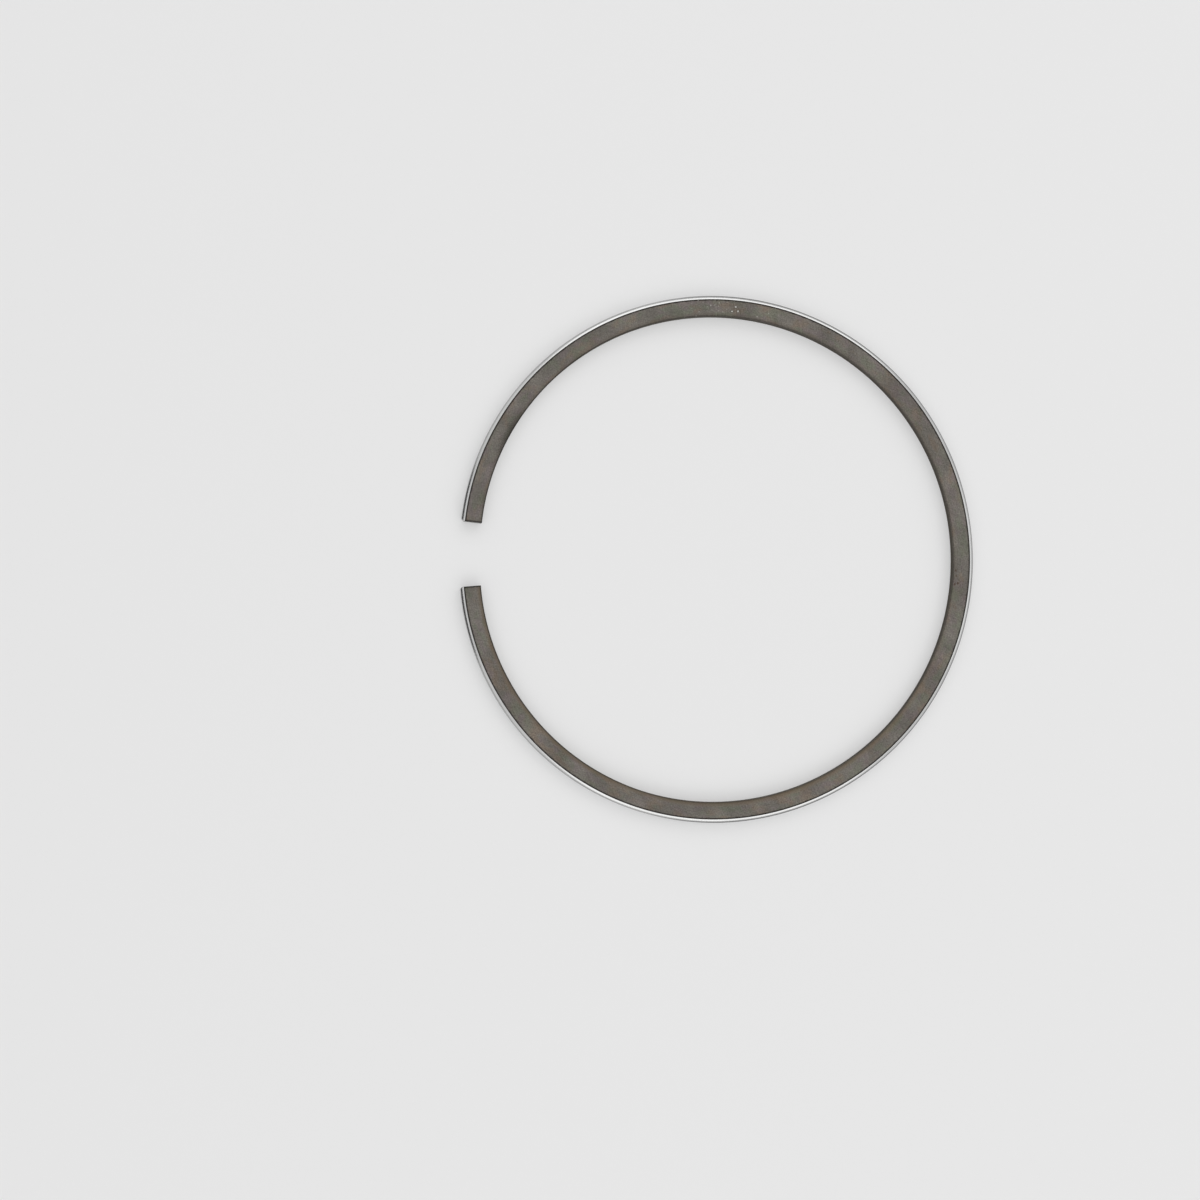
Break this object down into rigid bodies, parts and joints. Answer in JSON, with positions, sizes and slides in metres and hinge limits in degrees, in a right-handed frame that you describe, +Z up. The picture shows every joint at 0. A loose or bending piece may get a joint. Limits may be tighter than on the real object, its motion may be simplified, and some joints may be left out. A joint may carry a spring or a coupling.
{
  "type": "piston ring",
  "caption": "Free compression ring of a piston: split steel ring with butt-cut ends, dull side faces and a bright plated, barrel-shaped running face with rounded corners.",
  "frame": {"origin": "on the lower side face's plane, under the middle of the free ring's outline", "axes": "+Z up along the ring's axis, from side face to side face; the gap between the ends faces -X; the ring is mirror-symmetric across the plane Y = 0 and widest along Y"},
  "size_m": [0.078, 0.0794, 0.002],
  "materials": {
    "ring_steel": "dull ground side faces, bright plated running face and outer corners"
  },
  "bodies": {
    "root": {"compression_ring": "ring_steel"}
  },
  "joints": []
}
